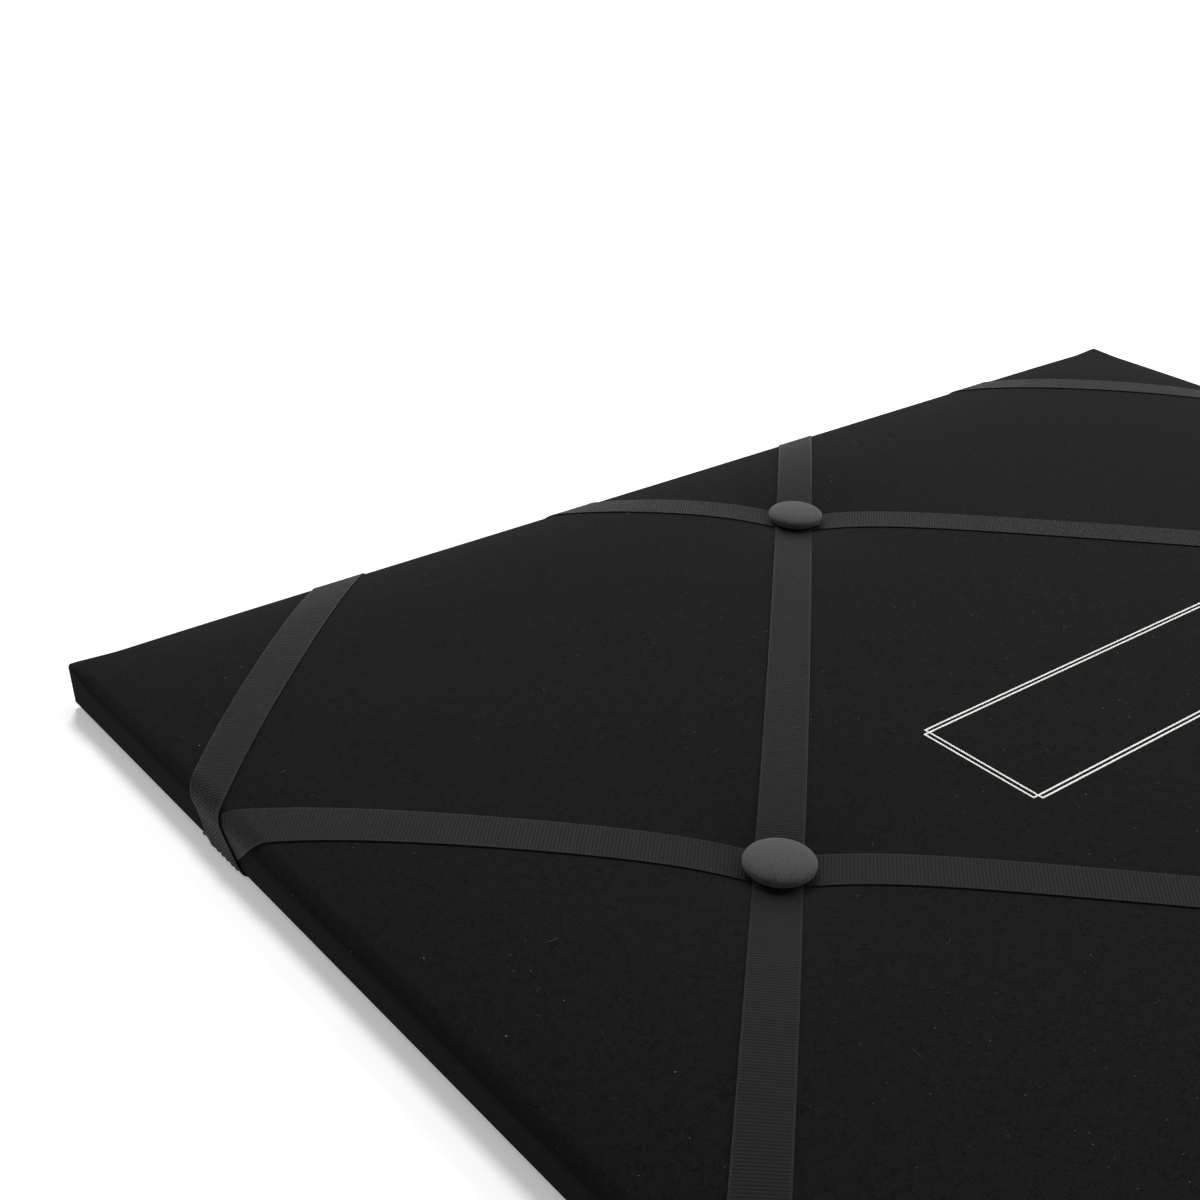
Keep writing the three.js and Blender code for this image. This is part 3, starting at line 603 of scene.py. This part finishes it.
def box_skin(xs, ys, zs, keeps_underside):
    """Points and faces of a box's skin on mesh lines, with only the wanted cells of its underside."""
    points, places, faces = [], {}, []

    def corner(i, j, k):
        if (i, j, k) not in places:
            places[i, j, k] = len(points)
            points.append((xs[i], ys[j], zs[k]))
        return places[i, j, k]

    last_x, last_y, last_z = len(xs) - 1, len(ys) - 1, len(zs) - 1
    for i in range(last_x):
        for j in range(last_y):
            cell = ((i, j), (i + 1, j), (i + 1, j + 1), (i, j + 1))
            faces.append([corner(*c, last_z) for c in cell])
            if keeps_underside((xs[i] + xs[i + 1]) / 2, (ys[j] + ys[j + 1]) / 2):
                faces.append([corner(*c, 0) for c in reversed(cell)])
    for k in range(last_z):
        for i in range(last_x):
            for j, turn in ((0, 1), (last_y, -1)):
                wall = (corner(i, j, k), corner(i + 1, j, k), corner(i + 1, j, k + 1), corner(i, j, k + 1))
                faces.append(wall[::turn])
        for j in range(last_y):
            for i, turn in ((0, -1), (last_x, 1)):
                wall = (corner(i, j, k), corner(i, j + 1, k), corner(i, j + 1, k + 1), corner(i, j, k + 1))
                faces.append(wall[::turn])
    return np.array(points), faces


def in_hem(x, y):
    return HALF_WIDTH - abs(x) < HEM_WIDTH or HALF_HEIGHT - abs(y) < HEM_WIDTH


def make_cover():
    """Cloth stretched over the pad, down the sides and under the frame."""
    flat, faces = box_skin(mesh_lines(HALF_WIDTH), mesh_lines(HALF_HEIGHT), wall_lines(), in_hem)
    points = rounded_box(flat)
    upper = flat[:, 2] > (HEM_LEVEL + RIM_LEVEL) / 2
    points[upper, 2] += padding(points[upper, 0], points[upper, 1])
    cover = make_piece("stretched_cloth", points, faces, CLOTH, "cloth")
    thicken(cover, CLOTH_THICKNESS)
    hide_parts("cover_cloth")


def make_pad():
    """Foam under the cloth, drawn down at the rim and the buttons."""
    drop = CLOTH_THICKNESS + PAD_GAP
    xs = spaced(PAD_INSET - HALF_WIDTH, HALF_WIDTH - PAD_INSET, PAD_CELL)
    ys = spaced(PAD_INSET - HALF_HEIGHT, HALF_HEIGHT - PAD_INSET, PAD_CELL)
    points, faces = box_skin(xs, ys, [PANEL_TOP, RIM_LEVEL - drop], lambda x, y: True)
    upper = points[:, 2] > PANEL_TOP
    points[upper, 2] += padding(points[upper, 0], points[upper, 1])
    pad = make_piece("foam_filling", points, faces, FOAM, "foam")
    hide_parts("foam_pad")


# Ribbons
def over_rim(flat):
    """The board's section at an edge, for distances from it along the flat cloth: inset on the face, inset
    below, drop under the rim, and how far the surface faces out and up."""
    wall = RIM_LEVEL - HEM_LEVEL - RIM_RADIUS - HEM_RADIUS
    gone = RIM_RADIUS - flat
    rim_angle = np.clip(gone / RIM_RADIUS, 0, math.pi / 2)
    past_rim = gone - RIM_RADIUS * math.pi / 2
    hem_angle = np.clip((past_rim - wall) / HEM_RADIUS, 0, math.pi / 2)
    under = np.maximum(0, past_rim - wall - HEM_RADIUS * math.pi / 2)
    face_inset = np.maximum(flat, RIM_RADIUS) - RIM_RADIUS * np.sin(rim_angle)
    lean = WALL_LEAN * np.clip(past_rim / wall, 0, 1)
    low_inset = lean + HEM_RADIUS * (1 - np.cos(hem_angle)) + under
    drop = RIM_RADIUS * (1 - np.cos(rim_angle)) + np.clip(past_rim, 0, wall) + HEM_RADIUS * np.sin(hem_angle)
    out = np.sin(rim_angle) * np.cos(hem_angle)
    up = np.cos(rim_angle) - np.sin(hem_angle)
    return face_inset, low_inset, drop, out, up


def lay_ribbon(corner, from_side, from_end, lift):
    """Places on the covered board for points given in the flat as distances from the corner's two edges."""
    east, north, _ = corner
    side_inset, side_low, side_drop, side_out, side_up = over_rim(from_side)
    end_inset, end_low, end_drop, end_out, end_up = over_rim(from_end)
    stand = padding(HALF_WIDTH - side_inset, HALF_HEIGHT - end_inset)
    x = east * (HALF_WIDTH - side_inset - side_low + lift * side_out)
    y = north * (HALF_HEIGHT - end_inset - end_low + lift * end_out)
    z = RIM_LEVEL + stand - side_drop - end_drop + lift * side_up * end_up
    return np.stack([x, y, z], axis=-1)


def ribbon_end(cut):
    """Where along a ribbon, from its middle, its tail ends under the board."""
    wall = RIM_LEVEL - HEM_LEVEL - RIM_RADIUS - HEM_RADIUS
    turned = (RIM_RADIUS + HEM_RADIUS) * math.pi / 2 + wall + RIBBON_TAIL - HEM_RADIUS
    return (cut / 2 - RIM_RADIUS + turned) * ROOT_TWO


def crossing_places():
    """Where along an upper ribbon, from its middle, the lower ribbons pass under it."""
    places = []
    for lower in RIBBON_CUTS.values():
        places.append((2 * HALF_WIDTH - lower) / ROOT_TWO)
        places.append((lower - 2 * HALF_HEIGHT) / ROOT_TWO)
    return places


def ribbon_columns():
    """Places across a ribbon, and how far its ribs show there: not on the smooth selvedges."""
    half = RIBBON_WIDTH / 2
    columns = [(share * half, 1.0) for share in RIBBED_COLUMNS]
    columns += [(half - SELVEDGE, 1.0), (half - SELVEDGE / 2, 0.0), (half, 0.0)]
    return [(-w, ribs) for w, ribs in reversed(columns[1:])] + columns


def ribbon_place(place, length, along, across, lift):
    """Places on the covered board for points along and across a ribbon, from its middle."""
    cut = RIBBON_CUTS[length]
    shift, slant, bow = RIBBON_STRAY.get(f"{place}_{length}", NO_STRAY)
    stray = shift + slant * along + bow * (along / ribbon_end(cut)) ** 2
    middle = (cut + ROOT_TWO * (across + stray)) / 2
    return lay_ribbon(CORNERS[place], middle + along / ROOT_TWO, middle - along / ROOT_TWO, lift)


def make_ribbon(place, length):
    corner = CORNERS[place]
    cut = RIBBON_CUTS[length]
    end = ribbon_end(cut)
    ribs = round(2 * end / RIB_PITCH)
    rows = ribs * len(RIB_SECTION) + 1
    along = np.linspace(-end, end, rows)
    across, ribbed = np.array(ribbon_columns()).T
    rib = np.array([RIB_SECTION[k % len(RIB_SECTION)] for k in range(rows)])
    height = RIB_HEIGHT * rib[:, None] * ribbed + SELVEDGE_HEIGHT * (1 - ribbed)
    lift = RIBBON_LAY + RIBBON_THICKNESS + height
    if corner[2]:
        layer = RIBBON_THICKNESS + RIB_HEIGHT
        lifts = np.zeros(rows)
        for crossing in crossing_places():
            beyond = (np.abs(along - crossing) - RIBBON_WIDTH / 2) / LIFT_RUN
            lifts = np.maximum(lifts, 1 - eased(beyond))
        lift = lift + layer * lifts[:, None]
    points = ribbon_place(place, length, along[:, None], across, lift).reshape(-1, 3)
    faces = grid_faces(rows, len(across))
    if corner[0] * corner[1] > 0:
        faces = [face[::-1] for face in faces]
    rib_count = np.arange(rows)[:, None] / len(RIB_SECTION)
    cloth_places = np.stack(np.broadcast_arrays(across, rib_count), axis=-1).reshape(-1, 2)
    ribbon = make_piece(f"grosgrain_{place}_{length}", points, faces, RIBBON, "ribbon", flat=cloth_places)
    thicken(ribbon, RIBBON_THICKNESS)
    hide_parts(f"ribbon_{place}_{length}")


# Covered buttons
def turned_mesh(profile, centre, sides):
    """Solid turned about an upright axis, from (radius, level) points that start and end on the axis."""
    points = [(centre[0], centre[1], profile[0][1])]
    for radius, level in profile[1:-1]:
        for k in range(sides):
            angle = 2 * math.pi * k / sides
            points.append((centre[0] + radius * math.cos(angle), centre[1] + radius * math.sin(angle), level))
    points.append((centre[0], centre[1], profile[-1][1]))
    rings = len(profile) - 2
    faces = [tuple(v + 1 for v in face) for face in grid_faces(rings, sides, closed_columns=True)]
    last = len(points) - 1
    for k in range(sides):
        after = (k + 1) % sides
        faces.append((0, 1 + after, 1 + k))
        faces.append((last, last - sides + k, last - sides + after))
    return points, [face[::-1] for face in faces]


def make_button(place):
    centre = BUTTON_CENTRES[place]
    crossing = RIBBON_LAY + 2 * (RIBBON_THICKNESS + RIB_HEIGHT)
    cloth = RIM_LEVEL + padding(np.array([centre.x]), np.array([centre.y]))[0]
    seat = cloth + crossing - BUTTON_PRESS
    brim = seat + BUTTON_EDGE
    turning = BUTTON_RADIUS - BUTTON_EDGE
    profile = []
    for k in range(DOME_STEPS + 1):
        angle = math.pi / 2 * k / DOME_STEPS
        profile.append((BUTTON_RADIUS * math.sin(angle), brim + BUTTON_DOME * math.cos(angle)))
    for k in range(1, EDGE_STEPS + 1):
        angle = math.pi / 2 * k / EDGE_STEPS
        profile.append((turning + BUTTON_EDGE * math.cos(angle), brim - BUTTON_EDGE * math.sin(angle)))
    profile.append((0.0, seat))
    points, faces = turned_mesh(profile, centre, BUTTON_SIDES)
    button = make_piece("covered_button_" + place, points, faces, BUTTON, "button")
    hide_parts("button_cap_" + place)


# Foil lines printed on the cloth
def outline(half_width, half_height):
    """Points round a rectangle, as many for each frame, mitred at its corners."""
    corners = ((-1, -1), (1, -1), (1, 1), (-1, 1))
    points = []
    for (x0, y0), (x1, y1) in zip(corners, corners[1:] + corners[:1]):
        for k in range(FOIL_STEPS):
            share = k / FOIL_STEPS
            x = half_width * (x0 + (x1 - x0) * share) + FOIL_PLACE[0]
            y = half_height * (y0 + (y1 - y0) * share) + FOIL_PLACE[1]
            points.append((x, y))
    return points


def make_foil():
    points, faces = [], []
    for half_width, half_height in FOIL_FRAMES:
        inner = outline(half_width - FOIL_LINE / 2, half_height - FOIL_LINE / 2)
        outer = outline(half_width + FOIL_LINE / 2, half_height + FOIL_LINE / 2)
        first = len(points)
        points.extend(inner + outer)
        band = grid_faces(2, len(inner), closed_columns=True)
        faces.extend(tuple(first + v for v in reversed(face)) for face in band)
    flat = np.array(points)
    level = RIM_LEVEL + padding(flat[:, 0], flat[:, 1]) + FOIL_THICKNESS
    lines = make_piece("foil_lines", np.column_stack([flat, level]), faces, FOIL, "cloth")
    thicken(lines, FOIL_THICKNESS)


# Lint, staples and folds
def tube(path, guide, radius, sides, closed=False):
    """Points and faces of a round wire along a path that lies about square to the guide."""
    path = np.asarray(path, float)
    if closed:
        ahead = np.roll(path, -1, axis=0) - np.roll(path, 1, axis=0)
    else:
        ahead = np.gradient(path, axis=0)
    beside = np.cross(ahead, guide)
    beside /= np.linalg.norm(beside, axis=1)[:, None]
    turns = 2 * math.pi * np.arange(sides)[:, None] / sides
    section = np.cos(turns) * beside[:, None, :] + np.sin(turns) * np.asarray(guide)
    points = (path[:, None, :] + radius * section).reshape(-1, 3)
    faces = [f[::-1] for f in grid_faces(len(path), sides, closed_rows=closed, closed_columns=True)]
    if not closed:
        faces.append(tuple(range(sides)))
        faces.append(tuple(reversed(range(len(points) - sides, len(points)))))
    return points, faces


def joined(parts):
    """One mesh of several, each given as points and faces."""
    points, faces = [], []
    for part_points, part_faces in parts:
        first = len(points)
        points.extend(part_points)
        faces.extend(tuple(first + v for v in face) for face in part_faces)
    return points, faces


def bare_cloth(x, y, margin):
    """Whether a place on the face is clear of the ribbons and the buttons."""
    for east, north, _ in CORNERS.values():
        from_corner = HALF_WIDTH - east * x + HALF_HEIGHT - north * y
        for cut in RIBBON_CUTS.values():
            if abs(from_corner - cut) / ROOT_TWO < RIBBON_WIDTH / 2 + margin:
                return False
    return all(math.hypot(x - c.x, y - c.y) > BUTTON_RADIUS + margin for c in BUTTON_CENTRES.values())


def make_fibres():
    """Short curls of lint that lie on the cloth."""
    chance = random.Random(FIBRE_SEED)
    shares = np.linspace(0, 1, FIBRE_STEPS + 1)
    curls = []
    while len(curls) < FIBRE_COUNT:
        x = chance.uniform(-1, 1) * (HALF_WIDTH - HEM_WIDTH)
        y = chance.uniform(-1, 1) * (HALF_HEIGHT - HEM_WIDTH)
        length = chance.uniform(*FIBRE_LENGTHS)
        if not bare_cloth(x, y, length):
            continue
        heading = chance.uniform(0, 2 * math.pi)
        angles = heading + chance.uniform(-FIBRE_BEND, FIBRE_BEND) * shares
        step = length / FIBRE_STEPS
        xs = x + np.cumsum(step * np.cos(angles))
        ys = y + np.cumsum(step * np.sin(angles))
        lift = FIBRE_RADIUS + FIBRE_LIFT * np.sin(math.pi * shares)
        path = np.column_stack([xs, ys, RIM_LEVEL + padding(xs, ys) + lift])
        curls.append(tube(path, (0, 0, 1), FIBRE_RADIUS, FIBRE_SIDES))
    make_piece("lint_fibres", *joined(curls), LINT_FIBRE, "cloth")


def staple(place, crown, level):
    """Wire staple with its crown along a direction, pressed to a layer's underside at a level."""
    half, radius, bend = STAPLE_CROWN / 2, STAPLE_WIRE / 2, STAPLE_BEND
    side = [(half, STAPLE_LEG), (half, bend)]
    for k in range(1, STAPLE_BEND_STEPS + 1):
        angle = math.pi / 2 * k / STAPLE_BEND_STEPS
        side.append((half - bend + bend * math.cos(angle), bend - bend * math.sin(angle)))
    shape = side + [(-along, up) for along, up in reversed(side)]
    path = [(*(place + along * crown), level - radius + up) for along, up in shape]
    return tube(path, (-crown[1], crown[0], 0), radius, STAPLE_SIDES)


def tail_staples():
    """Plan place, crown direction and level of the staple on each ribbon's two tails."""
    lift = RIBBON_LAY + RIBBON_THICKNESS + RIB_HEIGHT
    half = STAPLE_CROWN / 2
    places = []
    for place in CORNERS:
        for length, cut in RIBBON_CUTS.items():
            reach = ribbon_end(cut) - TAIL_STAPLE_SET
            for along in (-reach, reach):
                first, last = (ribbon_place(place, length, along, w, lift) for w in (-half, half))
                crown = (last - first)[:2]
                places.append(((first + last)[:2] / 2, crown / np.linalg.norm(crown), first[2]))
    return places


def hem_staples(taken):
    """Plan place, crown direction and level of the staples along the hem, clear of the places taken."""
    chance = random.Random(STAPLE_SEED)
    places = []
    for half, across in ((HALF_WIDTH, HALF_HEIGHT), (HALF_HEIGHT, HALF_WIDTH)):
        for side in (-1, 1):
            for along in spaced(STAPLE_FIRST - half, half - STAPLE_FIRST, STAPLE_SPACING):
                along += chance.uniform(-STAPLE_STRAY, STAPLE_STRAY)
                inset = STAPLE_INSET + chance.uniform(-STAPLE_STRAY, STAPLE_STRAY) / 3
                turn = chance.uniform(-STAPLE_TURN, STAPLE_TURN)
                place = np.array([along, side * (across - inset)])
                crown = np.array([math.cos(turn), math.sin(turn)])
                if half == HALF_HEIGHT:
                    place, crown = place[::-1], crown[::-1]
                if all(np.linalg.norm(place - other) > STAPLE_CLEAR for other, _, _ in taken):
                    places.append((place, crown, HEM_LEVEL))
    return places


def make_staples():
    tails = tail_staples()
    wires = [staple(*place) for place in tails + hem_staples(tails)]
    make_piece("hem_staples", *joined(wires), STEEL, "steel")


def make_hem_folds():
    """Cloth folded over itself along the diagonal of each corner of the hem."""
    flaps = []
    for east, north, _ in CORNERS.values():
        points = []
        for s in np.linspace(0, 1, FOLD_STEPS + 1):
            inset = FOLD_INSET + s * (HEM_WIDTH - FOLD_INSET)
            reach = FOLD_REACH * (FOLD_CORNER_SHARE + (1 - FOLD_CORNER_SHARE) * s)
            for t in np.linspace(0, 1, FOLD_STEPS + 1):
                x = east * (HALF_WIDTH - WALL_LEAN - inset - t * reach)
                y = north * (HALF_HEIGHT - WALL_LEAN - inset)
                points.append((x, y, HEM_LEVEL - CLOTH_THICKNESS * (1 - t) ** FOLD_EASE))
        faces = grid_faces(FOLD_STEPS + 1, FOLD_STEPS + 1)
        flaps.append((points, faces if east * north < 0 else [f[::-1] for f in faces]))
    folds = make_piece("hem_folds", *joined(flaps), CLOTH, "cloth")
    thicken(folds, FOLD_THICKNESS)


# Hanger rings
def make_ring(place):
    """D-shaped wire ring: its bar on the turning line, its bow hanging down to the surface."""
    body = place + "_ring"
    joints = frame["record"]["behaviour"]["joints"]
    x, y, z = next(joint["pos_m"] for joint in joints if joint["child"] == body)
    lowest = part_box("hanger_ring_" + place)[0].z
    hang = math.asin((z - RING_WIRE / 2 - lowest) / RING_REACH)
    straight = RING_WIDTH / 2 - RING_CORNER
    quarter = np.linspace(0, math.pi / 2, RING_STEPS + 1)
    bow = np.linspace(0, math.pi, RING_BOW_STEPS + 1)[1:-1]
    bar = np.linspace(-straight, straight, RING_STEPS)[1:-1]
    bow_reach = RING_REACH - RING_CORNER
    corner = [(straight + RING_CORNER * math.sin(a), RING_CORNER * (1 - math.cos(a))) for a in quarter]
    plan = [(u, 0.0) for u in bar] + corner
    plan += [(RING_WIDTH / 2 * math.cos(a), RING_CORNER + bow_reach * math.sin(a)) for a in bow]
    plan += [(-u, v) for u, v in reversed(corner)]
    path = [(x + u, y + v * math.cos(hang), z - v * math.sin(hang)) for u, v in plan]
    guide = (0, math.sin(hang), math.cos(hang))
    points, faces = tube(path, guide, RING_WIRE / 2, RING_SIDES, closed=True)
    ring = make_piece("wire_ring_" + place, points, faces, STEEL, "steel", body=body)
    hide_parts("hanger_ring_" + place)


# Carried-over pieces
def make_smoothing():
    """Geometry nodes that shade a solid smooth but for its sharp edges."""
    tree = bpy.data.node_groups.new("smooth by angle", "GeometryNodeTree")
    tree.interface.new_socket("Geometry", in_out="INPUT", socket_type="NodeSocketGeometry")
    tree.interface.new_socket("Geometry", in_out="OUTPUT", socket_type="NodeSocketGeometry")
    start = tree.nodes.new("NodeGroupInput")
    end = tree.nodes.new("NodeGroupOutput")
    faces = tree.nodes.new("GeometryNodeSetShadeSmooth")
    edges = tree.nodes.new("GeometryNodeSetShadeSmooth")
    edges.domain = "EDGE"
    edges.inputs["Shade Smooth"].default_value = False
    angle = tree.nodes.new("GeometryNodeInputMeshEdgeAngle")
    sharp = tree.nodes.new("FunctionNodeCompare")
    sharp.operation = "GREATER_THAN"
    sharp.inputs["B"].default_value = math.radians(SMOOTH_ANGLE)
    tree.links.new(angle.outputs["Unsigned Angle"], sharp.inputs["A"])
    tree.links.new(start.outputs[0], faces.inputs["Geometry"])
    tree.links.new(faces.outputs[0], edges.inputs["Geometry"])
    tree.links.new(sharp.outputs["Result"], edges.inputs["Selection"])
    tree.links.new(edges.outputs[0], end.inputs[0])
    return tree


SMOOTHING = make_smoothing()


def dress_node(name, material, edge):
    node = nodes[name]
    node.data.materials.clear()
    node.data.materials.append(material)
    weld = node.modifiers.new("joined corners", "WELD")
    weld.merge_threshold = WELD_REACH
    softened = node.modifiers.new("softened edges", "BEVEL")
    softened.width = edge
    softened.segments = SOFT_SEGMENTS
    softened.limit_method = "ANGLE"
    softened.angle_limit = math.radians(SOFT_ANGLE)
    smoothed = node.modifiers.new("smooth by angle", "NODES")
    smoothed.node_group = SMOOTHING


def dress_frame():
    for name in nodes:
        if name.startswith("rail_"):
            along = "X" if name in ("rail_top", "rail_bottom") else "Y"
            dress_node(name, LATHS[along], SOFT_EDGES["lath"])
        elif name == "face_panel":
            dress_node(name, HARDBOARD, SOFT_EDGES["hardboard"])
        elif name.startswith(("button_back", "button_prong", "button_washer", "hanger_")):
            dress_node(name, STEEL, SOFT_EDGES["steel"])


# Stage
def make_floor():
    material = bpy.data.materials.new("pale floor")
    material.use_nodes = True
    tree = material.node_tree
    tree.nodes.clear()
    strength = math_node(tree, "MULTIPLY", seen_directly(tree), FLOOR_GLOW)
    glow = add_node(tree, "Emission", {"Strength": strength})
    paper = add_node(tree, "BsdfDiffuse", {"Color": (FLOOR_COLOUR, FLOOR_COLOUR, FLOOR_COLOUR, 1)})
    lit = add_node(tree, "AddShader", {0: paper.outputs[0], 1: glow.outputs[0]})
    clear = add_node(tree, "BsdfTransparent")
    below = add_node(tree, "NewGeometry").outputs["Backfacing"]
    one_sided = add_node(tree, "MixShader", {0: below, 1: lit.outputs[0], 2: clear.outputs[0]})
    add_node(tree, "OutputMaterial", {"Surface": one_sided.outputs[0]})
    mesh = bpy.data.meshes.new("floor")
    corners = [(FLOOR_REACH * x, FLOOR_REACH * y, 0) for x, y in ((-1, -1), (1, -1), (1, 1), (-1, 1))]
    mesh.from_pydata(corners, [], [(0, 1, 2, 3)])
    mesh.materials.append(material)
    floor = bpy.data.objects.new("floor", mesh)
    floor.visible_diffuse = False
    floor.visible_shadow = False
    bpy.context.scene.collection.objects.link(floor)


def make_sky():
    """Even dome over the light that a pale floor throws back, with a white backdrop all round that the
    camera, metal and glass see."""
    world = bpy.data.worlds.new("studio")
    world.use_nodes = True
    tree = world.node_tree
    tree.nodes.clear()
    direction = add_node(tree, "TexCoord").outputs["Generated"]
    height = add_node(tree, "SeparateXYZ", {"Vector": direction}).outputs["Z"]
    top, fade = (math.sin(math.radians(angle)) for angle in (BACKDROP_TOP, BACKDROP_FADE))
    dome = mapped(tree, height, -HORIZON_BLUR, HORIZON_BLUR, FLOOR_BOUNCE, AMBIENT)
    backdrop = mapped(tree, height, top, fade, 1.0, AMBIENT)
    extra = math_node(tree, "SUBTRACT", backdrop, dome)
    shown = math_node(tree, "MULTIPLY", seen_directly(tree), extra)
    strength = math_node(tree, "ADD", dome, shown)
    sky = add_node(tree, "Background", {"Color": (1, 1, 1, 1), "Strength": strength})
    add_node(tree, "OutputWorld", {"Surface": sky.outputs[0]})
    bpy.context.scene.world = world


def make_lamp(name, place, size, power):
    """Square lamp that faces the board."""
    data = bpy.data.lights.new(name, "AREA")
    data.size = size
    data.energy = power
    lamp = bpy.data.objects.new(name, data)
    lamp.location = place
    lamp.rotation_mode = "QUATERNION"
    lamp.rotation_quaternion = (-Vector(place)).to_track_quat("-Z", "Y")
    bpy.context.scene.collection.objects.link(lamp)


def make_camera():
    data = bpy.data.cameras.new("camera")
    data.lens = CAMERA_LENS
    data.sensor_width = SENSOR
    data.clip_start = CLIP_START
    camera = bpy.data.objects.new("camera", data)
    camera.location = CAMERA_PLACE
    camera.rotation_euler = [math.radians(angle) for angle in CAMERA_TURN]
    bpy.context.scene.collection.objects.link(camera)
    bpy.context.scene.camera = camera


make_camera()
make_floor()
make_sky()
for lamp in LAMPS:
    make_lamp(*lamp)

make_pad()
make_cover()
for place in CORNERS:
    for length in RIBBON_CUTS:
        make_ribbon(place, length)
for place in PLACES:
    make_button(place)
make_foil()
make_fibres()
make_staples()
make_hem_folds()
for place in ("left", "right"):
    make_ring(place)
dress_frame()

bpy.context.scene.view_settings.view_transform = "Standard"
